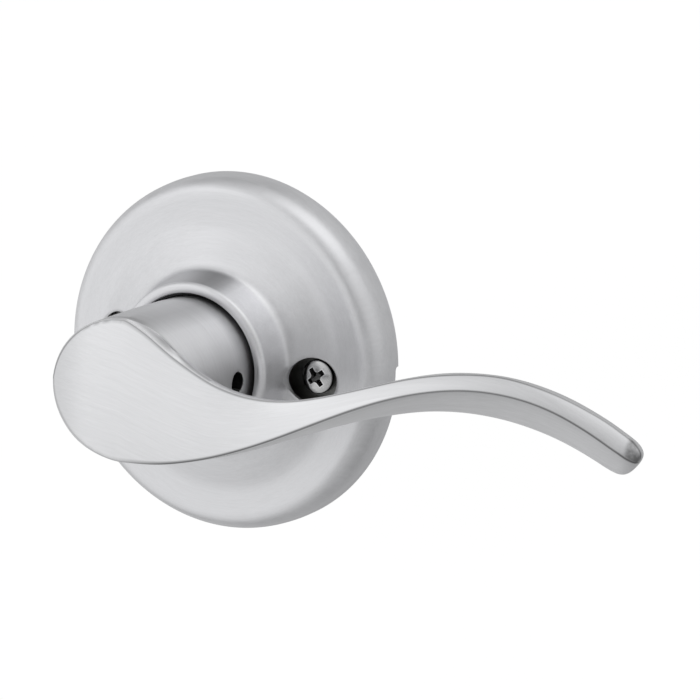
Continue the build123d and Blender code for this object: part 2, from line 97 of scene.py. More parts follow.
def rise(value, start, span):
    """0 up to start, easing to 1 over the span."""
    return smoothstep((value - start) / span)


def fall(value, end, span):
    """1, easing down over the span to 0 at end and beyond."""
    return smoothstep((end - value) / span)


def near(distance, width):
    """Bell curve: 1 at zero distance."""
    return np.exp(-(distance / width) ** 2)


def lookup(pairs, q):
    """Straight-line lookup through rising (x, value) pairs."""
    xs, values = np.array(pairs, float).T
    return np.interp(q, xs, values)


def smooth_lookup(pairs, q):
    """Spline lookup through (x, value) pairs, clamped at both ends."""
    p = np.array(sorted(pairs), float)
    return natural_spline(p[:, 0], p[:, 1])(np.clip(q, p[0, 0], p[-1, 0]))


def lengths(pts):
    """Length along a polyline at each of its points."""
    return np.concatenate([[0.0], np.cumsum(np.linalg.norm(np.diff(pts, axis=0), axis=1))])


def resample(pts, n):
    """n points evenly spaced by length along a polyline."""
    s = lengths(pts)
    q = np.linspace(0, s[-1], n)
    return np.stack([np.interp(q, s, pts[:, k]) for k in range(pts.shape[1])], 1)


def soften(pts, sigma, step=0.1):
    """Round the corners of an open polyline, its ends held."""
    total = np.linalg.norm(np.diff(pts, axis=0), axis=1).sum()
    n = max(int(total / step), 24)
    p = resample(pts, n)
    w = min(int(4 * sigma / step) + 1, n - 2)
    kernel = np.exp(-0.5 * (np.arange(-w, w + 1) * (total / n) / sigma) ** 2)
    kernel /= kernel.sum()
    ext = np.concatenate([2 * p[0] - p[w:0:-1], p, 2 * p[-1] - p[-2:-w - 2:-1]])
    out = np.stack([np.convolve(ext[:, c], kernel, "valid") for c in range(p.shape[1])], 1)
    out[0], out[-1] = p[0], p[-1]
    return out


def curve_pts(pts, step):
    """Points about a step apart along a smooth curve through the given points."""
    p = np.array(pts, float)
    s = lengths(p)
    return natural_spline(s, p)(np.linspace(0, s[-1], max(int(s[-1] / step), 4) + 1))


def bezier2(a, b, c, steps):
    """Quadratic curve from a to c, drawn towards b."""
    t = np.linspace(0, 1, steps + 1)[:, None]
    return (1 - t) ** 2 * a + 2 * t * (1 - t) * b + t * t * c


def hermite(start, start_slope, end, end_slope, steps):
    t = np.linspace(0, 1, steps + 1)[:, None]
    return ((2 * t ** 3 - 3 * t ** 2 + 1) * start + (t ** 3 - 2 * t ** 2 + t) * start_slope
            + (-2 * t ** 3 + 3 * t ** 2) * end + (t ** 3 - t ** 2) * end_slope)


def step_toward(a, b, distance):
    return a + distance * (b - a) / np.linalg.norm(b - a)


def ring(radius, y, angle, x0=0.0):
    """Points on circles round a line parallel to Y."""
    return np.stack([x0 + radius * np.cos(angle), y + 0 * angle, radius * np.sin(angle)], -1)


def full_turn(n):
    return np.linspace(0, 2 * np.pi, n, endpoint=False)


# ------------------------------------------------------------ mesh helpers
class Sheet:
    """Collects grids of points, in millimetres, into one welded mesh."""

    def __init__(self):
        self.co, self.faces, self.n = [], [], 0

    def grid(self, points, flip=False, wrap=False):
        p = np.asarray(points, float)
        rows, cols = p.shape[:2]
        idx = self.n + np.arange(rows * cols).reshape(rows, cols)
        if wrap:
            idx = np.concatenate([idx, idx[:, :1]], 1)
        quads = np.stack([idx[:-1, :-1], idx[:-1, 1:], idx[1:, 1:], idx[1:, :-1]], -1)
        quads = quads.reshape(-1, 4)
        self.faces.append(quads[:, ::-1] if flip else quads)
        self.co.append(p.reshape(-1, 3))
        self.n += rows * cols

    def build(self, name, weld=1.5e-3, angle=38.0):
        def clean(bm):
            bmesh.ops.remove_doubles(bm, verts=bm.verts, dist=weld * MM)
            bmesh.ops.dissolve_degenerate(bm, edges=bm.edges, dist=0.5 * weld * MM)
        obj = new_object(name, np.concatenate(self.co), np.concatenate(self.faces).tolist(), clean)
        shade(obj, angle)
        return obj


def new_object(name, co, faces, clean=None):
    """Object from points in mm, its faces turned to agree."""
    mesh = bpy.data.meshes.new(name)
    mesh.from_pydata((co * MM).tolist(), [], faces)
    bm = bmesh.new()
    bm.from_mesh(mesh)
    if clean:
        clean(bm)
    bmesh.ops.recalc_face_normals(bm, faces=bm.faces)
    bm.to_mesh(mesh)
    bm.free()
    obj = bpy.data.objects.new(name, mesh)
    bpy.context.scene.collection.objects.link(obj)
    return obj


def shade(obj, angle=38.0):
    """Smooth shading, split at edges sharper than the angle."""
    bm = bmesh.new()
    bm.from_mesh(obj.data)
    limit = math.radians(angle)
    for f in bm.faces:
        f.smooth = True
    for e in bm.edges:
        if len(e.link_faces) == 2:
            e.smooth = e.calc_face_angle(0.0) < limit
    bm.to_mesh(obj.data)
    bm.free()


def cut(obj, *cutters):
    """Boolean difference, applied, cutters removed."""
    for c in cutters:
        m = obj.modifiers.new("cut", "BOOLEAN")
        m.operation, m.solver, m.object = "DIFFERENCE", "EXACT", c
    bpy.context.view_layer.update()
    graph = bpy.context.evaluated_depsgraph_get()
    done = bpy.data.meshes.new_from_object(obj.evaluated_get(graph))
    old = obj.data
    obj.modifiers.clear()
    obj.data = done
    done.name = obj.name
    bpy.data.meshes.remove(old)
    for c in cutters:
        data = c.data
        bpy.data.objects.remove(c)
        bpy.data.meshes.remove(data)


def prism(name, outline, start, end, axis):
    """Closed prism along an axis: the outline is (y, z) along 'x', (x, z) along 'y'."""
    o = np.asarray(outline, float)
    n = len(o)
    column = 0 if axis == "x" else 1
    co = np.concatenate([np.insert(o, column, a, axis=1) for a in (start, end)])
    faces = [[i, (i + 1) % n, n + (i + 1) % n, n + i] for i in range(n)]
    faces += [list(range(n))[::-1], list(range(n, 2 * n))]
    return new_object(name, co, faces)


def circle(radius, u, v, n):
    a = full_turn(n)
    return np.stack([u + radius * np.cos(a), v + radius * np.sin(a)], 1)


def rounded_mouth(gap, width, depth):
    """How far a surface sinks at a distance from a hole's edge."""
    return depth * (1 - np.clip(gap, 0, width) / width) ** 2


def co_mm(obj):
    co = np.empty(len(obj.data.vertices) * 3)
    obj.data.vertices.foreach_get("co", co)
    return co.reshape(-1, 3) / MM


def set_co_mm(obj, co):
    obj.data.vertices.foreach_set("co", (co * MM).ravel())
    obj.data.update()


def set_grain(obj, vec):
    """Stores the brushing coordinates, in mm: x runs along the brushing."""
    a = obj.data.attributes.new("grain", "FLOAT_VECTOR", "POINT")
    a.data.foreach_set("vector", np.asarray(vec, np.float32).ravel())


def set_value(obj, name, value):
    """Stores one number per vertex for the materials to read."""
    a = obj.data.attributes.new(name, "FLOAT", "POINT")
    a.data.foreach_set("value", np.asarray(value, np.float32).ravel())


def round_grain(angle, across, radius, offset):
    """Brushing coordinates that run round an axis, on a circle of the given radius."""
    return np.stack([radius * np.cos(angle) + offset, across,
                     radius * np.sin(angle) + offset], 1)


def nearest(points, co):
    """Distance from every vertex to the closest of the given points, in mm."""
    tree = KDTree(len(points))
    for i, p in enumerate(points):
        tree.insert(Vector(p), i)
    tree.balance()
    return np.array([tree.find(Vector(c))[2] for c in co])


# ------------------------------------------------------------ lever
# One row per cross-section of the arm: x, z of the centre, lean in degrees,
# then (distance from the door, height) of the lower front crease, the upper
# front ridge, the upper back limb and the lower back limb, then the back's distance.
ARM = np.array([
    (-3, -0.10, 0.0, 45.00, -13.70, 45.00, 13.95, 44.00, 13.80, 44.40, -13.60, 43.0),
    (0, -0.10, 0.0, 45.10, -13.85, 45.10, 14.25, 44.20, 14.15, 44.50, -13.80, 42.6),
    (2, -0.50, 0.0, 45.12, -13.30, 45.12, 14.05, 43.80, 13.85, 44.50, -13.25, 42.0),
    (6, -1.10, 0.0, 45.18, -12.20, 45.12, 12.75, 43.70, 12.55, 44.40, -12.20, 39.5),
    (10, -1.75, 0.0, 45.22, -10.80, 45.10, 11.10, 43.60, 10.90, 44.30, -10.85, 37.6),
    (14.5, -2.15, 0.0, 45.30, -9.15, 45.06, 9.35, 43.50, 9.18, 44.10, -9.35, 36.5),
    (19, -2.25, 0.0, 45.38, -7.54, 44.94, 7.65, 43.40, 7.48, 43.90, -7.85, 35.9),
    (24, -1.95, 1.0, 45.46, -5.79, 44.60, 6.13, 43.12, 5.97, 43.30, -6.34, 35.5),
    (30, -0.85, 4.0, 45.54, -4.02, 44.10, 4.67, 42.65, 4.51, 42.50, -4.92, 35.3),
    (36, 0.87, 10.1, 45.59, -2.56, 43.83, 3.73, 42.44, 3.58, 41.77, -3.82, 35.2),
    (42, 3.02, 15.4, 45.59, -1.46, 43.75, 3.26, 42.45, 3.17, 41.12, -3.23, 35.2),
    (48, 5.35, 18.7, 45.51, -0.63, 43.67, 3.12, 42.31, 3.06, 40.58, -3.07, 35.2),
    (54, 7.59, 18.1, 45.38, 0.02, 43.56, 3.23, 42.05, 3.21, 40.12, -3.18, 35.2),
    (60, 9.50, 15.0, 45.20, 0.58, 43.35, 3.61, 41.65, 3.58, 39.76, -3.32, 35.2),
    (66, 10.89, 9.1, 44.94, 1.12, 43.00, 4.04, 41.02, 4.03, 39.52, -3.53, 35.0),
    (72, 11.64, 3.5, 44.55, 1.64, 42.51, 4.53, 40.16, 4.30, 39.32, -3.73, 34.9),
    (78, 11.67, -1.9, 44.06, 2.04, 41.92, 5.00, 39.09, 4.46, 39.10, -3.81, 34.6),
    (84, 10.95, -8.0, 43.50, 2.31, 41.28, 5.09, 38.39, 4.52, 38.80, -3.79, 34.4),
    (89, 9.81, -13.6, 42.93, 2.29, 40.59, 5.03, 37.78, 4.44, 38.46, -3.74, 34.2),
    (93.5, 8.41, -18.8, 42.36, 2.01, 39.85, 4.84, 37.04, 4.14, 38.13, -3.76, 34.0),
    (97.2, 7.01, -23.1, 41.88, 1.72, 39.24, 4.63, 36.39, 3.83, 37.87, -3.80, 33.9),
    (99.8, 5.80, -26.1, 41.50, 1.60, 38.86, 4.45, 35.96, 3.64, 37.70, -3.70, 33.9),
    (101, 5.26, -27.0, 41.35, 1.55, 38.67, 4.35, 35.77, 3.55, 37.60, -3.70, 33.9),
    (102.1, 4.70, -27.9, 41.25, 1.50, 38.56, 4.32, 35.66, 3.52, 37.60, -3.70, 33.8),
    (103, 4.25, -28.4, 41.20, 1.50, 38.51, 4.29, 35.61, 3.49, 37.60, -3.70, 33.8),
    (104, 3.76, -29.0, 41.15, 1.50, 38.47, 4.27, 35.57, 3.47, 37.60, -3.70, 33.8),
])
arm_at = natural_spline(ARM[:, 0], ARM[:, 1:])
# The tip closes as a superellipse about TIP_MID (distance from the door, height)
TIP_START, TIP_END, TIP_POWER = 99.2, 103.75, 2.9
TIP_MID = np.array([37.8, 1.3])
BACK_ROUND = 0.42                  # softening of the corners round the arm's back

# Round head, by degrees from -X to straight up or down: corner radius (degrees, radius)
HEAD_HIGH = [(0, 15.50), (20, 15.08), (36, 14.68), (53, 14.38), (68, 14.28), (80, 14.20),
             (90, 14.15)]
HEAD_LOW = [(0, 15.50), (22, 15.40), (35, 15.18), (48, 14.95), (62, 14.55), (77, 14.15),
            (90, 13.95)]
HEAD_ROUND = 0.42                  # rounding between the face and the rim
HEAD_CORNER_Y, HEAD_RIM_Y, HEAD_RIM_IN = -45.06, -44.55, 0.02
DOME_EDGE_Y, DOME_RISE, DOME_R = -45.21, 1.12, 14.2

# Hub: (distance from the door, radius); then the rear edge and socket: (radius, y)
HUB_SIDE = [(9.3, 13.95), (20.0, 13.95), (24.0, 14.14), (28.0, 14.20), (32.0, 14.26),
            (36.0, 14.31), (40.0, 14.37), (43.6, 14.40), (44.4, 14.40)]
HUB_REAR_Y = -9.7
SOCKET = [(13.95, HUB_REAR_Y), (13.86, -9.45), (13.62, -9.3), (12.2, -9.3), (10.0, -9.3),
          (9.72, -9.42), (9.6, -9.7), (9.6, -20.0), (9.6, -30.0), (9.6, -37.6), (5.0, -37.6),
          (0.001, -37.6)]
# Where the hub's wall turns into the arm's back, and the size of that rounding,
# by degrees round the hub: (degrees, y) and (degrees, rounding)
BLEND_Y = [(90, -44.4), (75, -44.45), (62, -44.45), (54, -44.40), (46, -44.0), (40, -43.2),
           (32, -41.8), (25, -39.8), (15, -36.9), (5, -34.6), (-5, -33.4), (-20, -32.6),
           (-35, -33.0), (-50, -35.0), (-62, -38.0), (-75, -41.9), (-83, -43.7), (-90, -44.4)]
BLEND_ROUND = [(90, 0.25), (60, 0.7), (46, 1.0), (30, 1.7), (0, 2.6), (-45, 3.6), (-75, 1.4),
               (-90, 0.25)]
X_JOIN = 22.0                      # where the blend meets the arm's own back
FACE_STEPS, RIM_STEPS, BACK_STEPS, WALL_STEPS, BLEND_STEPS, HEAD_STEPS = 40, 6, 144, 72, 72, 64
# Painted light and shade round the hub's wall: (degrees, factor)
HUB_PAINTED_SHADING = [(-40, 0.85), (0, 0.66), (8, 0.70), (17, 0.80), (24, 0.95), (32, 1.06), (40, 1.12),
            (48, 1.13), (56, 1.08), (64, 0.90), (70, 0.78), (76, 0.72), (86, 0.76), (95, 0.86),
            (140, 0.95), (180, 1.0)]


def hub_radius(y):
    return lookup(HUB_SIDE, -np.asarray(y, float))


def edge_round(x):
    """Rounding of the face's edges, larger near the hub."""
    return 0.26 + 0.16 * (1 - smoothstep(x / 16.0))


def section(x):
    """Corners of the arm's cross-section, its back, and a map from it to 3D."""
    row = arm_at([x])[0]
    z_mid, lean = row[0], math.radians(row[1])
    crease, ridge, upper, lower = row[2:10].reshape(4, 2)
    scale = 1.0
    if x > TIP_START:
        t = min((x - TIP_START) / (TIP_END - TIP_START), 0.9999)
        scale = (1 - t ** TIP_POWER) ** (1 / TIP_POWER)

    def place(p):
        out, up = (TIP_MID + (p - TIP_MID) * scale).T
        return np.stack([x - up * math.sin(lean), -out, z_mid + up * math.cos(lean)], 1)
    return crease, ridge, upper, lower, row[10], place


def face_and_rims(x):
    """Face strip from crease to ridge, and the rounded rims at ridge and crease."""
    crease, ridge, upper, lower, _, place = section(x)
    rounding = edge_round(x)
    width = np.linalg.norm(ridge - crease)
    across = (ridge - crease) / width
    outward = np.array([across[1], -across[0]])
    bulge = width * (0.042 + 0.010 * rise(x, 20, 30))
    inset = min(rounding / width, 0.2)
    t = np.linspace(inset, 1 - inset, FACE_STEPS + 1)
    face = crease + np.outer(t, ridge - crease) + np.outer(bulge * 4 * t * (1 - t), outward)
    high = bezier2(face[-1], ridge, step_toward(ridge, upper, rounding), RIM_STEPS)
    low = bezier2(face[0], crease, step_toward(crease, lower, rounding), RIM_STEPS)
    return place(face), place(high), place(low)


def back_curve(x):
    """Top strip, back and underside, from the ridge's rim to the crease's rim."""
    crease, ridge, upper, lower, back, place = section(x)
    span = upper[1] - lower[1]
    key = np.array([upper,
                    (back + (upper[0] - back) * 0.42, lower[1] + span * 0.86),
                    (back, lower[1] + span * 0.5),
                    (back + (lower[0] - back) * 0.42, lower[1] + span * 0.14),
                    lower])
    arc = natural_spline(np.arange(5), key)(np.linspace(0, 4, 81))
    rounding = edge_round(x)
    line = np.concatenate([[step_toward(ridge, upper, rounding)], arc,
                           [step_toward(crease, lower, rounding)]])
    return place(resample(soften(line, BACK_ROUND), BACK_STEPS + 1))


def head_rows(end_face, end_high, end_low):
    """Round head, left of the axis, as upright chords of the domed circle."""
    angles = np.linspace(0, np.pi / 2, HEAD_STEPS + 1)
    degrees = np.degrees(angles)
    faces, highs, lows = [], [], []
    for p, high_r, low_r in zip(angles, smooth_lookup(HEAD_HIGH, degrees),
                                smooth_lookup(HEAD_LOW, degrees)):
        def on_head(radius, y, side):
            return np.array([-radius * math.cos(p), y, side * radius * math.sin(p)])

        w = p / (np.pi / 2)
        top = on_head((high_r - HEAD_ROUND) * (1 - w) + end_face[-1][2] * w, 0, 1)
        bottom = on_head((low_r - HEAD_ROUND) * (1 - w) + -end_face[0][2] * w, 0, -1)
        t = np.linspace(0, 1, FACE_STEPS + 1)[:, None]
        chord = bottom * (1 - t) + top * t
        out = np.hypot(chord[:, 0], chord[:, 2]) / DOME_R
        dome = DOME_EDGE_Y - DOME_RISE * (1 - out ** 2)
        chord[:, 1] = dome * (1 - w ** 4) + end_face[:, 1] * w ** 4
        faces.append(chord)
        for rows, radius, base, side, end in ((highs, high_r, chord[-1], 1, end_high),
                                              (lows, low_r, chord[0], -1, end_low)):
            rim = bezier2(base, on_head(radius, HEAD_CORNER_Y, side),
                          on_head(radius - HEAD_RIM_IN, HEAD_RIM_Y, side), RIM_STEPS)
            rows.append(rim * (1 - w ** 6) + end * w ** 6)
    return np.array(faces), np.array(highs), np.array(lows)


def blend_columns(high_edge, low_edge, arm_end):
    """Columns from the hub's wall, round a fillet, to the arm's back at X_JOIN."""
    theta = np.radians(np.linspace(90, -90, BACK_STEPS + 1))
    degrees = np.degrees(theta)
    turn_y = smooth_lookup(BLEND_Y, degrees)
    fillet = smooth_lookup(BLEND_ROUND, degrees)
    slope = back_curve(X_JOIN + 0.5) - arm_end
    slope = slope / np.linalg.norm(slope, axis=1)[:, None]
    columns = []
    for j, angle in enumerate(theta):
        corner = ring(hub_radius(turn_y[j]), turn_y[j], angle)
        wall_y = turn_y[j] + fillet[j]
        on_wall = ring(hub_radius(wall_y), wall_y, angle)
        span = arm_end[j] - corner
        reach = np.linalg.norm(span)
        side = math.copysign(1, math.sin(angle))
        tangent = np.array([abs(math.sin(angle)), 0.0, -math.cos(angle) * side])
        # leaves along the wall at top and bottom, straight for the arm at mid height
        w = rise(abs(degrees[j]), 35, 50.0)
        leave = w * tangent + (1 - w) * span / reach
        leave = leave / np.linalg.norm(leave) * reach
        path = hermite(corner, leave, arm_end[j], slope[j] * reach, 120)
        k = int(np.searchsorted(lengths(path), fillet[j]))
        turn = bezier2(on_wall, corner, path[k], 14)
        columns.append(resample(np.concatenate([turn, path[k + 1:]]), BLEND_STEPS + 1))
    columns = np.array(columns)
    # pull the outermost columns onto the rims
    v = np.linspace(0, 1, BACK_STEPS + 1)[:, None, None]
    columns = (columns + (1 - v) ** 9 * (high_edge - columns[0])[None]
               + v ** 9 * (low_edge - columns[-1])[None])
    columns[0], columns[-1] = high_edge, low_edge
    columns[:, -1] = arm_end
    return columns


def hub_wall(top, levels, keeps):
    """Hub wall from the rear to the top points; keep is the pull to their own radius."""
    angle = np.arctan2(top[:, 2], top[:, 0])
    top_r = np.hypot(top[:, 0], top[:, 2])
    rows = []
    for level, keep in zip(levels, keeps):
        y = HUB_REAR_Y + (top[:, 1] - HUB_REAR_Y) * level
        rows.append(ring(hub_radius(y) * (1 - keep) + top_r * keep, y, angle))
    return np.array(rows)


def cut_release_hole(obj):
    mouth_width, mouth_depth = 0.55, 0.22
    co = co_mm(obj)
    gap = np.hypot(co[:, 1] - CATCH_Y, co[:, 2] - CATCH_Z) - RELEASE_R
    sunk = (co[:, 0] > 11) & (np.hypot(co[:, 0], co[:, 2]) > 13) & (gap < mouth_width)
    co[sunk, 0] -= rounded_mouth(gap[sunk], mouth_width, mouth_depth)
    set_co_mm(obj, co)
    cut(obj, prism("release_cut", circle(RELEASE_R, CATCH_Y, CATCH_Z, 120), 8.6, 17.0, "x"))
    shade(obj)


def paint_lever_shading(obj, high_rim, low_rim):
    """Painted shade lines, a painted dark reflection on the tip, and painted light and shade of
    the lever, stored per vertex.
    """
    co = co_mm(obj)
    x, y, z = co.T
    front = y < -36.0

    def gap_to(points):
        gap = np.full(len(co), 9.0)
        gap[front] = nearest(points, co[front])
        return gap
    to_low = gap_to(0.5 * (low_rim[:, 0] + low_rim[:, 2]))
    to_high = gap_to(high_rim[:, 1])
    to_lip = gap_to(high_rim[:, -1])
    crease = low_rim[HEAD_STEPS:, 0]
    crease_z = np.interp(x, crease[:, 0], crease[:, 2])

    # painted shade: dark lines along the face's two edges, fading away under the arm, and painted
    # shade under the arm beside the crease
    on_arm = rise(x, -2.0, 14.0)
    line = (0.32 + 0.68 * on_arm) * near(to_low, 0.24)
    line = np.maximum(line, 0.72 * near(to_high, 0.17))
    under_arm_shade = np.exp(-to_low / 1.3) * on_arm * (y > -45.0) * 0.20
    set_value(obj, "line", np.clip(np.maximum(line, under_arm_shade), 0, 1))
    # painted shade on the tip's end, above the crease: a dark reflection of the rounded end
    set_value(obj, "tip_shade", rise(x, 102.15, 1.2) * rise(z - crease_z, -0.1, 0.5)
              * fall(y, -37.2, 1.6))

    # painted light and shade round the hub wall, and painted shade towards the door
    radius = np.hypot(x, z)
    on_hub = fall(radius, 14.9, 0.3) * rise(y, -44.3, 0.8) * (y < -9.0)
    hub_painted_shading = lookup(HUB_PAINTED_SHADING, np.degrees(np.arctan2(z, x))) * (1 - 0.22 * rise(y, -25.5, 4.0))
    tone = 1 + (hub_painted_shading - 1) * on_hub
    # painted highlight on the lip at the ridge, and painted shade on a strip just behind it near
    # the hub
    tone = tone * (1 + 0.12 * near(to_lip, 0.17))
    strip = (y > -44.9) & (z > 0) & (x < 19) & (x > -6)
    tone = tone * (1 - 0.36 * strip * near(to_lip - 0.85, 0.60))
    # painted shade at the left of the head's face, then on the outer arm above the crease
    tone = tone * (1 - 0.14 * fall(x, -6.5, 8.0) * (y < -44.5))
    tone = tone * (1 - 0.13 * rise(x, 48.0, 34.0) * (z > crease_z))
    # painted shade: the wall inside the release hole is made near black
    in_hole = np.hypot(y - CATCH_Y, z - CATCH_Z) < RELEASE_R + 0.04
    in_hole = in_hole & (x > 9) & (radius < 13.95)
    set_value(obj, "shade", np.where(in_hole, 0.07, tone))


def grain_lever(obj):
    """Brushing along the arm, and round the hub's wall."""
    x, y, z = co_mm(obj).T
    z_mid = arm_at(np.clip(x, 0, 105))[:, 0]
    along = np.stack([x, (z - z_mid) + 0.10 * np.minimum(x, 20), y], 1)
    around = round_grain(np.arctan2(z, x), y, radius=6.0, offset=40)
    on_wall = (y > -43.9) & (np.hypot(x, z) < 14.8)
    squeeze = np.array([1, 1, 0.15])
    set_grain(obj, np.where(on_wall[:, None], around * squeeze, along))
    set_value(obj, "wall", on_wall * 1.0)


def build_lever():
    """The cast lever as one closed surface: domed face, arm, hub and socket."""
    blend_x = np.linspace(0.0, X_JOIN, BLEND_STEPS + 1)
    arm_x = np.linspace(X_JOIN, TIP_START, 132)[1:]
    tip_x = TIP_START + (TIP_END - TIP_START) * np.sin(np.linspace(0, np.pi / 2, 40))[1:]
    stations = [face_and_rims(x) for x in np.concatenate([blend_x, arm_x, tip_x])]
    faces, highs, lows = (np.array(part) for part in zip(*stations))
    head_face, head_high, head_low = head_rows(faces[0], highs[0], lows[0])
    high_rim = np.concatenate([head_high[:-1], highs])
    low_rim = np.concatenate([head_low[:-1], lows])

    sheet = Sheet()
    sheet.grid(np.concatenate([head_face[:-1], faces]))
    sheet.grid(high_rim)
    sheet.grid(low_rim, flip=True)

    # arm's back, from the join to the tip, and the tip's closing point
    backs = np.array([back_curve(x) for x in np.concatenate([[X_JOIN], arm_x, tip_x])])
    backs[:, 0] = highs[BLEND_STEPS:, -1]
    backs[:, -1] = lows[BLEND_STEPS:, -1]
    sheet.grid(backs)
    loop = np.concatenate([faces[-1][:-1], highs[-1][:-1], backs[-1][:-1], lows[-1][::-1][:-1]])
    sheet.grid(np.stack([loop, np.repeat(loop.mean(0)[None], len(loop), 0)]), wrap=True)

    blend = blend_columns(highs[:BLEND_STEPS + 1, -1], lows[:BLEND_STEPS + 1, -1], backs[0])
    sheet.grid(blend.transpose(1, 0, 2))

    # hub wall: right half below the blend, left half below the head's rims
    right, left_high, left_low = blend[:, 0], head_high[:, -1], head_low[:, -1]
    levels = np.linspace(0, 1, WALL_STEPS + 1)
    late = rise(levels, 0.9, 0.1)
    early = smoothstep((levels - 0.45) / (1 - 0.45) / 2) * 2
    sheet.grid(hub_wall(right, levels, late), flip=True)
    sheet.grid(hub_wall(left_high, levels, early), flip=True)
    sheet.grid(hub_wall(left_low, levels, early))

    for top in (right, left_high, left_low):
        angle = np.arctan2(top[:, 2], top[:, 0])
        sheet.grid(np.array([ring(r, y, angle) for r, y in SOCKET]))
    obj = sheet.build("lever_body")
    cut_release_hole(obj)
    paint_lever_shading(obj, high_rim, low_rim)
    grain_lever(obj)
    return obj


# ------------------------------------------------------------ rose
# Sections of the turned rose: (radius, distance from the door)
ROSE_RIM = [(35.0, 0.0), (35.10, 0.0), (35.9, 0.0), (36.0, 0.10), (36.0, 0.7), (36.0, 1.4)]
ROSE_OUT = [(36.00, 2.00), (35.84, 4.00), (35.50, 5.70), (35.00, 6.85), (34.40, 7.75),
            (33.70, 8.35), (33.00, 8.62), (31.00, 8.74), (29.00, 8.76), (27.10, 8.90),
            (25.00, 9.45), (22.80, 10.20), (20.60, 10.92), (19.60, 11.28), (18.90, 11.66),
            (18.30, 12.30), (17.86, 13.30), (17.42, 15.10), (17.12, 16.70), (16.85, 18.80)]
ROSE_LIP = [(16.85, 18.80), (16.66, 19.40), (16.30, 19.78), (15.75, 19.95),
            (15.15, 19.92), (14.75, 19.72), (14.60, 19.35)]
ROSE_STEP = [(14.6, 18.95), (15.7, 18.95), (15.7, 16.5)]
ROSE_IN = [(15.70, 13.90), (16.55, 12.50), (17.70, 11.10), (19.60, 10.10),
           (22.50, 8.95), (24.80, 8.15), (27.00, 7.68), (29.50, 7.55), (32.60, 7.50),
           (33.40, 7.10), (33.95, 6.45), (34.45, 5.50), (34.84, 4.00), (35.00, 2.40)]
ROSE_BEAD = [(35.0, 1.60), (34.75, 1.50), (34.5, 1.28), (34.4, 1.05), (34.5, 0.82),
             (34.75, 0.60), (35.0, 0.50)]
HOLES = [(-22.4, 0.75), (22.35, -0.60)]      # screw holes: (x, z)
HOLE_R = 4.68
NOTCH_HALF, NOTCH_DEPTH, NOTCH_ROUND = 3.0, 1.2, 0.8
# Painted light and shade round the collar's wall and the cone: (degrees, factor)
COLLAR_PAINTED_SHADING = [(-60, 1.0), (0, 1.0), (25, 1.08), (40, 1.12), (55, 1.14), (66, 1.12), (70, 0.95),
               (75, 0.66), (80, 0.50), (86, 0.44), (92, 0.48), (98, 0.60), (104, 0.72),
               (110, 0.82), (130, 0.95), (180, 1.0)]
CONE_PAINTED_SHADING = [(-70, 1.0), (-40, 0.95), (-15, 0.82), (5, 0.74), (20, 0.80), (35, 0.97),
             (50, 1.08), (65, 1.06), (85, 1.0)]
# How strongly the cone's painted shading shows: (radius, weight)
CONE_SHADING_REACH = [(17.9, 0.0), (18.5, 1.0), (22.0, 1.0), (28.0, 0.60), (32.0, 0.45), (34.0, 0.0)]


def notch_cutter():
    """Round-cornered slot through the rim's rear edge, at +X."""
    half, depth, r = NOTCH_HALF, NOTCH_DEPTH, NOTCH_ROUND
    turns = np.linspace(0, np.pi / 2, 9)
    outline = [(1.0, -half), (1.0, half)]
    outline += [(-depth + r - r * math.sin(t), half - r + r * math.cos(t)) for t in turns]
    outline += [(-depth + r - r * math.cos(t), -half + r - r * math.sin(t)) for t in turns]
    return prism("notch_cut", outline, 33.5, 37.5, "x")


def cut_rose(obj):
    """Screw holes with rounded mouths, and the notch."""
    mouth_width, mouth_depth = 0.6, 0.36
    co = co_mm(obj)
    radius = np.hypot(co[:, 0], co[:, 2])
    outside = np.abs(-co[:, 1] - lookup(ROSE_OUT[::-1], radius)) < 0.3
    outside = outside & (radius > 17.2) & (radius < 33)
    for x, z in HOLES:
        gap = np.hypot(co[:, 0] - x, co[:, 2] - z) - HOLE_R
        sunk = outside & (gap < mouth_width) & (gap > -1.2)
        co[sunk, 1] += rounded_mouth(gap[sunk], mouth_width, mouth_depth)
    set_co_mm(obj, co)
    cutters = [prism("hole_cut", circle(HOLE_R, x, z, 144), -16.0, -4.0, "y") for x, z in HOLES]
    cut(obj, *cutters, notch_cutter())
    shade(obj, 34)


def grain_and_paint_rose_shading(obj):
    """Brushing round the axis, and painted light and shade on the collar's wall and the cone."""
    x, y, z = co_mm(obj).T
    radius = np.hypot(x, z)
    angle = np.arctan2(z, x)
    degrees = np.degrees(angle)
    set_grain(obj, round_grain(angle, radius - 0.6 * y, radius=9.0, offset=60))
    # painted light and shade on the collar's wall and on the cone
    collar = fall(radius, 18.45, 0.6) * (y < -12.2) * rise(y, -19.3, 0.5) * (radius > 16.2)
    cone = lookup(CONE_SHADING_REACH, radius) * (y < -8.0) * (1 - collar)
    set_value(obj, "shade", 1 + (lookup(COLLAR_PAINTED_SHADING, degrees) - 1) * collar
              + (lookup(CONE_PAINTED_SHADING, degrees) - 1) * cone)


def build_rose():
    """The rose as one closed turned sheet, with holes and notch cut."""
    profile = np.concatenate([ROSE_RIM, curve_pts(ROSE_OUT, 0.26), curve_pts(ROSE_LIP, 0.16)[1:],
                              ROSE_STEP, curve_pts(ROSE_IN, 0.8), ROSE_BEAD])
    around = 640
    angle = full_turn(around) + np.pi / around
    grid = np.array([ring(r, -d, angle) for r, d in profile])
    sheet = Sheet()
    sheet.grid(np.concatenate([grid, grid[:1]]), wrap=True)
    obj = sheet.build("rose_cover", weld=1e-3)
    cut_rose(obj)
    grain_and_paint_rose_shading(obj)
    return obj


# ------------------------------------------------------------ screws
SCREW_X = 22.77
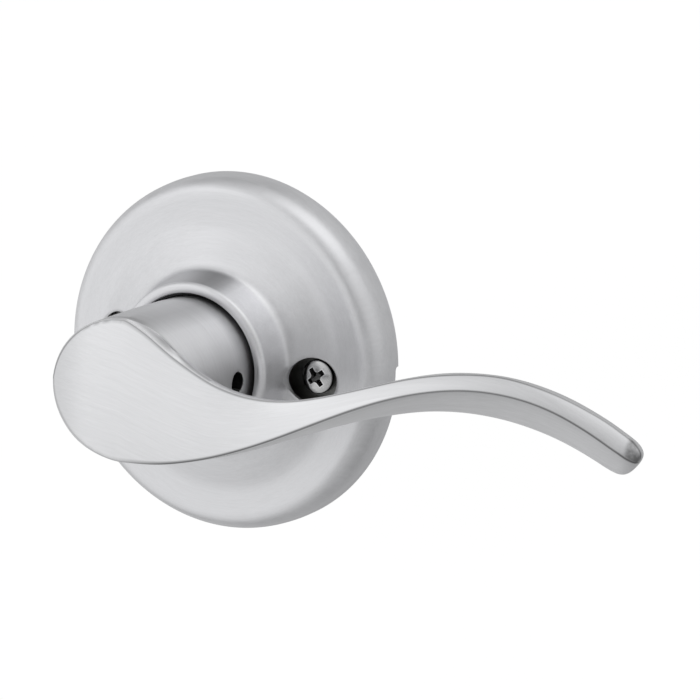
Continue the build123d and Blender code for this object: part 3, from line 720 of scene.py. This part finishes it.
# name, x, turn of the cross recess in degrees
SCREWS = [("mounting_screw_left", -SCREW_X + 0.25, 33),
          ("mounting_screw_right", SCREW_X - 0.27, 41)]
HEAD_R, EDGE_R = 3.4, 3.4 - 0.16             # screw head, and where its crown ends
CROWN_Y, HEAD_UNDER_Y, SCREW_END_Y = -9.1, -6.02, 19.4
SHANK_R, THREAD_Y, PITCH, THREAD_DEPTH = 2.08, 1.6, 0.79, 0.42


def crown_y(radius):
    return CROWN_Y + 0.62 * (radius / HEAD_R) ** 2.6


def recess_distance(u, v, radius):
    """Signed distance to the cross recess in its own axes, below zero inside."""
    wing_length, wing_half, taper, centre_r, blend = 1.98, 0.60, 0.06, 1.02, 0.42

    def wing(a, b):
        return np.maximum(np.abs(a) - wing_length, np.abs(b) - (wing_half - taper * np.abs(a)))
    first, second = wing(u, v), wing(v, u)
    h = np.clip(0.5 + 0.5 * (second - first) / blend, 0, 1)
    cross = second * (1 - h) + first * h - blend * h * (1 - h)
    return np.minimum(cross, radius - centre_r)


def screw_crown(x0, twist, angle):
    """Domed top of the head with the cross recess sunk in."""
    radius, a = np.meshgrid(np.linspace(0.0, EDGE_R, 84), angle, indexing="ij")
    turned = a - math.radians(twist)
    gap = recess_distance(radius * np.cos(turned), radius * np.sin(turned), radius)
    depth = 2.35 - 0.62 * radius
    return ring(radius, crown_y(radius) + depth * smoothstep((-gap + 0.03) / 0.16), a, x0)


def thread_rows(x0, angle):
    """Helical thread, fading in at its start and out towards the tip."""
    last_y = SCREW_END_Y - 0.5
    rows = []
    for y in np.arange(THREAD_Y, last_y, PITCH / 10):
        phase = (y / PITCH - angle / (2 * np.pi)) % 1.0
        crest = np.clip(1.35 * (1 - np.abs(2 * phase - 1)) - 0.12, 0, 1)
        fade = rise(y, THREAD_Y, 1.2) * fall(y, last_y, 0.8)
        narrow = 0.35 * (1 - fall(y, last_y, 0.5))
        rows.append(ring(SHANK_R - THREAD_DEPTH * (1 - crest) * fade - narrow, y, angle, x0))
    return rows + [ring(r, SCREW_END_Y, angle, x0) for r in (1.5, 1e-4)]


def grain_and_paint_screw_shading(obj, x0, twist):
    x, y, z = co_mm(obj).T
    x = x - x0
    radius = np.hypot(z, x)
    angle = np.arctan2(z, x)
    set_grain(obj, round_grain(angle, radius + y, radius=3, offset=20))
    c, s = math.cos(math.radians(twist)), math.sin(math.radians(twist))
    gap = recess_distance(x * c + z * s, -x * s + z * c, radius)
    # painted highlight on the edge round the recess, and painted shade on the head's rim
    recess_highlight = 1 + 0.42 * (y < CROWN_Y + 0.95) * near(gap - 0.07, 0.12)
    rim_shade = 1 - 0.45 * rise(radius, HEAD_R - 0.34, 0.25) * (y < HEAD_UNDER_Y)
    set_value(obj, "shade", recess_highlight * rim_shade)
    # painted shade deep in the cross recess
    in_recess = (radius < 2.6) & (y < -6.3)
    set_value(obj, "pit_shade", rise(y - crown_y(radius), 0.25, 0.9) * in_recess)


def build_screw(name, x0, twist):
    """Mounting screw: domed head with a cross recess, shank and a real helix."""
    # side of the head and the plain shank: (radius, y)
    side = [(EDGE_R, crown_y(EDGE_R)), (HEAD_R - 0.06, -8.43), (HEAD_R, -8.27), (HEAD_R, -7.3),
            (HEAD_R, -6.2), (HEAD_R - 0.12, HEAD_UNDER_Y), (2.6, HEAD_UNDER_Y),
            (SHANK_R, HEAD_UNDER_Y), (SHANK_R, -5.0), (SHANK_R, -1.0), (SHANK_R, THREAD_Y)]
    angle = full_turn(288)
    sheet = Sheet()
    sheet.grid(screw_crown(x0, twist, angle), wrap=True)
    sheet.grid(np.array([ring(r, y, angle, x0) for r, y in side]), wrap=True)
    sheet.grid(np.array(thread_rows(x0, angle)), wrap=True)
    obj = sheet.build(name, weld=8e-4, angle=40)
    grain_and_paint_screw_shading(obj, x0, twist)
    return obj


# ------------------------------------------------------------ catch
# Domed nose, flange and guide stem: (x, radius)
CATCH = [(11.90, 0.0), (11.88, 0.55), (11.78, 1.05), (11.55, 1.48), (11.2, 1.76), (10.8, 1.88),
         (10.2, 1.90), (7.1, 1.90), (7.1, 2.6), (7.1, 3.0), (7.0, 3.1), (5.75, 3.1), (5.6, 3.0),
         (5.6, 2.2), (5.6, 1.15), (3.0, 1.15), (1.4, 1.15), (1.2, 0.95), (1.2, 0.0)]
COIL_START_X, COIL_END_X, COIL_R, COIL_TURNS, WIRE_R = 5.25, -5.75, 1.75, 6, 0.3


def build_catch():
    """Release catch, turned about a line along X."""
    angle = full_turn(72)
    rows = []
    for x, radius in CATCH:
        r = max(radius, 1e-4)
        rows.append(np.stack([x + 0 * angle, CATCH_Y + r * np.cos(angle),
                              CATCH_Z + r * np.sin(angle)], 1))
    sheet = Sheet()
    sheet.grid(np.array(rows), wrap=True)
    obj = sheet.build("catch_plunger", weld=8e-4, angle=40)
    x, y, z = co_mm(obj).T
    set_grain(obj, np.stack([np.arctan2(z - CATCH_Z, y - CATCH_Y) if False else
                             np.arctan2(z, y - CATCH_Y), x, y], 1)
              if False else np.stack([np.arctan2(z, y - CATCH_Y), x, y], 1))
    return obj


def build_catch_spring():
    """Compression spring behind the catch, with its end coils closed up."""
    per_turn, wire_sides = 54, 14
    k = np.linspace(0, 1, COIL_TURNS * per_turn + 1)
    ease = np.clip((k - 0.06) / 0.88, 0, 1)
    travel = 0.05 * k + 0.95 * (0.35 * smoothstep(ease) + 0.65 * ease)
    a = 2 * np.pi * COIL_TURNS * k
    path = np.stack([COIL_START_X + (COIL_END_X - COIL_START_X) * travel,
                     CATCH_Y + COIL_R * np.cos(a), CATCH_Z + COIL_R * np.sin(a)], 1)
    along = np.gradient(path, axis=0)
    along /= np.linalg.norm(along, axis=1)[:, None]
    out = np.stack([np.zeros_like(a), np.cos(a), np.sin(a)], 1)
    out -= along * (out * along).sum(1)[:, None]
    out /= np.linalg.norm(out, axis=1)[:, None]
    side = np.cross(along, out)
    b = full_turn(wire_sides)
    rows = [np.repeat(path[:1], wire_sides, 0)]
    for i in range(len(k)):
        r = WIRE_R * (0.8 if i in (0, len(k) - 1) else 1.0)
        rows.append(path[i] + r * (np.cos(b)[:, None] * out[i] + np.sin(b)[:, None] * side[i]))
    rows.append(np.repeat(path[-1:], wire_sides, 0))
    sheet = Sheet()
    sheet.grid(np.array(rows), wrap=True)
    return sheet.build("catch_coil", weld=8e-4, angle=50)


# ------------------------------------------------------------ node helpers
def new_material(name):
    """Empty material: itself, its node tree and its output node."""
    mat = bpy.data.materials.new(name)
    mat.use_nodes = True
    nt = mat.node_tree
    nt.nodes.clear()
    return mat, nt, nt.nodes.new("ShaderNodeOutputMaterial")


def new_surface(name):
    mat, nt, out = new_material(name)
    bsdf = nt.nodes.new("ShaderNodeBsdfPrincipled")
    nt.links.new(bsdf.outputs[0], out.inputs[0])
    return mat, nt, bsdf


def node(nt, kind, **props):
    n = nt.nodes.new(kind)
    for k, v in props.items():
        setattr(n, k, v)
    return n


def attribute(nt, name, output="Fac"):
    return node(nt, "ShaderNodeAttribute", attribute_name=name).outputs[output]


def object_coords(nt):
    return node(nt, "ShaderNodeTexCoord").outputs["Object"]


def ramp(nt, src, lo, hi, a, b, **props):
    """Maps a value from lo..hi to a..b, clamped."""
    m = node(nt, "ShaderNodeMapRange", **props)
    for key, v in (("From Min", lo), ("From Max", hi), ("To Min", a), ("To Max", b)):
        m.inputs[key].default_value = v
    nt.links.new(src, m.inputs["Value"])
    return m.outputs[0]


def calc(nt, op, a, b):
    m = node(nt, "ShaderNodeMath", operation=op)
    for i, v in enumerate((a, b)):
        if isinstance(v, (int, float)):
            m.inputs[i].default_value = v
        else:
            nt.links.new(v, m.inputs[i])
    return m.outputs[0]


def noise(nt, vec, scale, detail, rough, stretch=(1, 1, 1), unit=1.0):
    mapping = node(nt, "ShaderNodeMapping")
    mapping.inputs["Scale"].default_value = tuple(unit * k for k in stretch)
    nt.links.new(vec, mapping.inputs["Vector"])
    t = node(nt, "ShaderNodeTexNoise")
    for key, v in (("Scale", scale), ("Detail", detail), ("Roughness", rough)):
        t.inputs[key].default_value = v
    nt.links.new(mapping.outputs[0], t.inputs["Vector"])
    return t.outputs["Fac"]


def finish_surface(nt, bsdf, color, tone, height, bump):
    """Base colour scaled by a tone, and a bump of the given height in mm."""
    tint = node(nt, "ShaderNodeVectorMath", operation="SCALE")
    tint.inputs[0].default_value = color
    nt.links.new(tone, tint.inputs["Scale"])
    nt.links.new(tint.outputs[0], bsdf.inputs["Base Color"])
    relief = node(nt, "ShaderNodeBump")
    relief.inputs["Distance"].default_value = bump * MM
    nt.links.new(height, relief.inputs["Height"])
    nt.links.new(relief.outputs[0], bsdf.inputs["Normal"])


# ------------------------------------------------------------ materials
def metal(name, color, rough, streak, tone, bump, fine, long, patchy=0.03, dirt=0.0,
          grain=True, dark=(), rougher=(), shaded=False, outline=0.0):
    """Brushed or turned metal.

    streak and tone: how far the brushing sways roughness and brightness
    fine and long: brushing frequency per mm, across and along
    patchy, dirt: cloudy roughness, dark specks
    grain: brushing follows the mesh's own coordinates, else the object's
    dark: (attribute, darkening, blotched); rougher: (attribute, added roughness)
    shaded: painted light and shade from the "shade" attribute; outline: painted shade at grazing
    view
    """
    mat, nt, bsdf = new_surface(name)
    vec = attribute(nt, "grain", "Vector") if grain else object_coords(nt)
    unit = 1.0 if grain else 1000.0
    lines = noise(nt, vec, 1.0, 4.0, 0.65, (long, fine, fine), unit)
    broad = noise(nt, vec, 1.0, 2.0, 0.5, (long * 0.35, fine * 0.28, fine * 0.28), unit)
    coords = object_coords(nt)
    cloud = noise(nt, coords, scale=55.0, detail=3.0, rough=0.5)
    brushing = calc(nt, "ADD", calc(nt, "MULTIPLY", lines, 0.6), calc(nt, "MULTIPLY", broad, 0.4))

    r = calc(nt, "ADD", ramp(nt, brushing, 0.3, 0.7, rough - streak, rough + streak),
             ramp(nt, cloud, 0.3, 0.7, -patchy, patchy))
    for attr, amount in rougher:
        r = calc(nt, "ADD", r, calc(nt, "MULTIPLY", attribute(nt, attr), amount))
    nt.links.new(r, bsdf.inputs["Roughness"])

    t = calc(nt, "ADD", ramp(nt, brushing, 0.3, 0.7, 1 - tone, 1 + tone * 0.4),
             ramp(nt, cloud, 0.25, 0.75, -0.02, 0.02))
    # painted light and shade from the shade attribute
    if shaded:
        t = calc(nt, "MULTIPLY", t, attribute(nt, "shade"))
    # painted shade where the surface is seen at a grazing angle
    if outline:
        facing = node(nt, "ShaderNodeLayerWeight")
        facing.inputs["Blend"].default_value = 0.5
        edge = ramp(nt, facing.outputs["Facing"], 0.74, 1.0, 1.0, 1.0 - outline)
        t = calc(nt, "MULTIPLY", t, edge)
    for attr, amount, blotched in dark:
        f = attribute(nt, attr)
        if blotched:
            blotch = noise(nt, coords, scale=420.0, detail=3.0, rough=0.6)
            f = calc(nt, "MULTIPLY", f, ramp(nt, blotch, 0.36, 0.62, 0.25, 1.0))
        t = calc(nt, "MULTIPLY", t, ramp(nt, f, 0.0, 1.0, 1.0, 1.0 - amount))
    if dirt:
        speck = noise(nt, coords, scale=900.0, detail=2.0, rough=0.6)
        t = calc(nt, "SUBTRACT", t, ramp(nt, speck, 0.55, 0.8, 0.0, dirt))
    bsdf.inputs["Metallic"].default_value = 1.0
    finish_surface(nt, bsdf, color, t, brushing, bump)
    return mat


def plastic(name, color, rough):
    """Matt plastic with a fine texture."""
    mat, nt, bsdf = new_surface(name)
    coords = object_coords(nt)
    fine = noise(nt, coords, scale=2600.0, detail=3.0, rough=0.6)
    cloud = noise(nt, coords, scale=160.0, detail=2.0, rough=0.5)
    nt.links.new(ramp(nt, fine, 0.3, 0.7, rough - 0.08, rough + 0.08), bsdf.inputs["Roughness"])
    finish_surface(nt, bsdf, color, ramp(nt, cloud, 0.3, 0.7, 0.8, 1.25), fine, bump=0.02)
    return mat


MATS = {
    # the lever's dark edge lines, the dark patch at its tip, its shade attribute and its grazing
    # darkening are painted shade and painted highlights
    "lever": metal("satin_lever", (0.875, 0.875, 0.887), rough=0.36, streak=0.05, tone=0.085,
                   bump=0.003, fine=6.0, long=0.22, rougher=[("wall", 0.06)], shaded=True,
                   dark=[("line", 0.78, False), ("tip_shade", 0.66, True)], outline=0.26),
    # the rose's shade attribute and its grazing darkening are painted light and shade
    "rose": metal("satin_rose", (0.80, 0.80, 0.815), rough=0.37, streak=0.06, tone=0.085,
                  bump=0.004, fine=5.0, long=0.8, shaded=True, outline=0.26),
    # the screw's shade attribute is painted highlight and shade, and its darkening deep in the
    # recess is painted shade
    "screw": metal("screw_nickel", (0.62, 0.62, 0.62), rough=0.17, streak=0.08, tone=0.20,
                   bump=0.012, fine=3.0, long=0.4, dirt=0.30, dark=[("pit_shade", 0.84, False)],
                   shaded=True),
    "zinc": metal("zinc_plate", (0.34, 0.34, 0.33), rough=0.42, grain=False, streak=0.10,
                  tone=0.18, bump=0.02, fine=0.9, long=0.5, dirt=0.2, patchy=0.08),
    "zinc_light": metal("zinc_housing", (0.58, 0.58, 0.56), rough=0.38, grain=False, streak=0.10,
                        tone=0.16, bump=0.02, fine=0.8, long=0.45, dirt=0.18, patchy=0.08),
    "steel": metal("hard_steel", (0.36, 0.365, 0.375), rough=0.34, grain=False, streak=0.08,
                   tone=0.14, bump=0.015, fine=2.5, long=0.6, dirt=0.2),
    "spring": metal("spring_wire", (0.22, 0.225, 0.24), rough=0.30, grain=False, streak=0.08,
                    tone=0.15, bump=0.01, fine=4.0, long=2.0, dirt=0.15),
    # near-black base colour is painted shade: the catch sits deep in the release hole
    "catch": metal("catch_steel_painted_shade", (0.022, 0.022, 0.024), rough=0.18, streak=0.05, tone=0.10,
                   bump=0.01, fine=6.0, long=1.0),
    "bronze": metal("bearing_bronze", (0.58, 0.40, 0.22), rough=0.40, grain=False, streak=0.08,
                    tone=0.14, bump=0.02, fine=3.0, long=3.0, dirt=0.3),
    "nylon": plastic("black_nylon", (0.018, 0.018, 0.020), rough=0.55),
}
# CAD pieces by material
MADE_OF = {
    "lever": ["lever"], "rose": ["rose"], "screw": ["mounting_screws"], "catch": ["lever_catch"],
    "nylon": ["rose_bushing"], "zinc": ["mounting_plate"], "bronze": ["plate_bearing"],
    "zinc_light": ["spring_housing", "housing_cover"],
    "steel": ["cover_screws", "housing_rivets", "stop_pin", "drive_sleeve", "spring_driver",
              "thrust_washer", "spindle", "spindle_pin", "catch_spring_seat"],
    "spring": ["return_spring", "rose_snap_ring", "disc_spring_washer", "retaining_clip",
               "catch_spring"],
}


def dress(obj, key):
    obj.data.materials.clear()
    obj.data.materials.append(MATS[key])


def fit(obj, key, rides, replaces=None):
    """Gives a built piece its material and its place in the frame."""
    dress(obj, key)
    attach(obj, rides)
    if replaces:
        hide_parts(replaces)


piece_material = {piece: key for key, pieces in MADE_OF.items() for piece in pieces}
for piece, cad_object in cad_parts.items():
    dress(cad_object, piece_material[piece])

fit(build_lever(), "lever", "lever_side", replaces="lever")
fit(build_rose(), "rose", "rose_side", replaces="rose")
for (name, x0, twist), replaced in zip(SCREWS, (None, "mounting_screws")):
    fit(build_screw(name, x0, twist), "screw", "rose_side", replaces=replaced)
fit(build_catch(), "catch", "catch", replaces="lever_catch")
coil = build_catch_spring()
fit(coil, "spring", "lever_side", replaces="catch_spring")
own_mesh(coil)


# ------------------------------------------------------------ stage
def build_stage():
    """One curved sheet: floor in front, swept up into the wall behind."""
    floor_z, front_y, wall_y, top_z, sweep_r = -300, -2400, 1100, 2200, 800
    profile = [(front_y, floor_z), (wall_y - sweep_r, floor_z)]
    for i in range(1, 25):
        t = i / 24 * math.pi / 2
        profile.append((wall_y - sweep_r + sweep_r * math.sin(t),
                        floor_z + sweep_r - sweep_r * math.cos(t)))
    profile.append((wall_y, top_z))
    sheet = Sheet()
    sheet.grid([[(x, y, z) for x in np.linspace(-3000, 3000, 13)] for y, z in profile])
    return sheet.build("floor", angle=60)


def floor_material():
    """Plain white to the camera, and clear to all other light."""
    mat, nt, out = new_material("pale_floor")
    mottle = noise(nt, object_coords(nt), scale=3.0, detail=2.0, rough=0.5)
    rays = node(nt, "ShaderNodeLightPath")
    glow = node(nt, "ShaderNodeEmission")
    glow.inputs["Color"].default_value = (1.0, 1.0, 1.0, 1)
    nt.links.new(ramp(nt, mottle, 0.3, 0.7, 1.0, 1.01), glow.inputs["Strength"])
    clear = node(nt, "ShaderNodeBsdfTransparent")
    mix = node(nt, "ShaderNodeMixShader")
    nt.links.new(rays.outputs["Is Camera Ray"], mix.inputs[0])
    nt.links.new(clear.outputs[0], mix.inputs[1])
    nt.links.new(glow.outputs[0], mix.inputs[2])
    nt.links.new(mix.outputs[0], out.inputs[0])
    return mat


floor = build_stage()
floor.data.materials.append(floor_material())

# ------------------------------------------------------------ light
# Soft glows of the surround: direction towards the glow, the cosine at which it
# starts, and its gain at the middle
LOBES = [
    ((0.28, 0.14, 0.95), 0.84, 0.42), ((-0.61, -0.40, 0.69), 0.80, 0.10),
    ((-0.46, -0.86, -0.20), 0.80, 0.07), ((0.10, -0.27, 0.96), 0.30, 0.25),
    ((-0.43, 0.21, 0.88), 0.30, 0.04), ((0.59, 0.17, 0.79), 0.30, 0.21),
    ((-0.37, -0.60, 0.71), 0.30, 0.25), ((-0.15, 0.77, 0.62), 0.30, 0.04),
    ((0.68, -0.50, 0.54), 0.30, 0.11), ((0.61, 0.70, 0.38), 0.30, 0.23),
    ((0.02, -0.96, 0.29), 0.30, 0.01), ((-0.68, 0.71, 0.21), 0.30, 0.19),
    ((0.99, -0.07, 0.13), 0.30, 0.11), ((-0.78, -0.62, 0.04), 0.30, 0.41),
    ((0.55, -0.83, -0.12), 0.30, 0.01), ((-0.95, 0.23, -0.21), 0.30, 0.17),
    ((0.84, 0.46, -0.29), 0.30, 0.06), ((-0.30, -0.88, -0.38), 0.30, 0.19),
    ((-0.36, 0.81, -0.46), 0.30, 0.26), ((0.77, -0.34, -0.54), 0.30, 0.11),
    ((-0.74, -0.25, -0.62), 0.30, 0.05), ((0.14, -0.59, -0.79), 0.30, 0.19),
    ((-0.40, 0.27, -0.88), 0.30, 0.05), ((0.28, 0.04, -0.96), 0.30, 0.06),
]
BASE_LEVEL = 0.085


def lobe(nt, view, direction, start, gain):
    """Brightness that rises from 0 to gain as the view nears a direction."""
    dot = node(nt, "ShaderNodeVectorMath", operation="DOT_PRODUCT")
    nt.links.new(view, dot.inputs[0])
    dot.inputs[1].default_value = tuple(Vector(direction).normalized())
    return ramp(nt, dot.outputs["Value"], start, 1.0, 0.0, gain, interpolation_type="SMOOTHSTEP")


def build_world():
    """Soft studio surround; the camera itself sees plain white."""
    world = bpy.data.worlds.new("studio")
    bpy.context.scene.world = world
    world.use_nodes = True
    nt = world.node_tree
    nt.nodes.clear()
    out = node(nt, "ShaderNodeOutputWorld")
    background = node(nt, "ShaderNodeBackground")
    nt.links.new(background.outputs[0], out.inputs[0])
    view = node(nt, "ShaderNodeTexCoord").outputs["Generated"]
    first, *others = [lobe(nt, view, *row) for row in LOBES]
    level = first
    for part in others + [BASE_LEVEL]:
        level = calc(nt, "ADD", level, part)
    rays = node(nt, "ShaderNodeLightPath")
    pick = node(nt, "ShaderNodeMix", data_type="FLOAT")
    nt.links.new(rays.outputs["Is Camera Ray"], pick.inputs["Factor"])
    nt.links.new(level, pick.inputs["A"])
    pick.inputs["B"].default_value = 1.0
    nt.links.new(pick.outputs["Result"], background.inputs["Strength"])
    background.inputs["Color"].default_value = (0.99, 0.995, 1.0, 1)


def build_key():
    """Weak area light, in front, to the left and above, aimed at the origin."""
    place = Vector((-1.1, -1.3, 0.9))
    data = bpy.data.lights.new("key_left", "AREA")
    data.shape = "RECTANGLE"
    data.size, data.size_y, data.energy = 0.7, 0.9, 0.3
    data.spread = math.radians(180)
    light = bpy.data.objects.new("key_left", data)
    bpy.context.scene.collection.objects.link(light)
    light.location = place
    light.rotation_euler = (-place).to_track_quat("-Z", "Y").to_euler()


build_world()
build_key()

# ------------------------------------------------------------ camera
CAMERA_AT = np.array([348.758, -619.057, 178.284])
# turn to the right about Z, rise, and roll, in degrees
AZIMUTH, ELEVATION, ROLL = 27.617, 13.985, 4.173


def build_camera():
    """Long lens from the front right, a little above."""
    data = bpy.data.cameras.new("camera")
    data.sensor_width = 36.0
    data.sensor_fit = "HORIZONTAL"
    data.lens = 187.602686
    data.clip_start, data.clip_end = 0.01, 20
    cam = bpy.data.objects.new("camera", data)
    bpy.context.scene.collection.objects.link(cam)
    az, el, roll = map(math.radians, (AZIMUTH, ELEVATION, ROLL))
    toward = np.array([math.sin(az) * math.cos(el), -math.cos(az) * math.cos(el), math.sin(el)])
    level = np.array([math.cos(az), math.sin(az), 0.0])
    upright = np.cross(toward, level)
    right = math.cos(roll) * level + math.sin(roll) * upright
    up = -math.sin(roll) * level + math.cos(roll) * upright
    columns = ((*right, 0), (*up, 0), (*toward, 0), (*(CAMERA_AT * MM), 1))
    cam.matrix_world = Matrix(columns).transposed()
    bpy.context.scene.camera = cam


build_camera()

scene = bpy.context.scene
scene.view_settings.view_transform = "Standard"
scene.view_settings.look = "None"
scene.view_settings.exposure = 0.0
scene.cycles.use_denoising = True
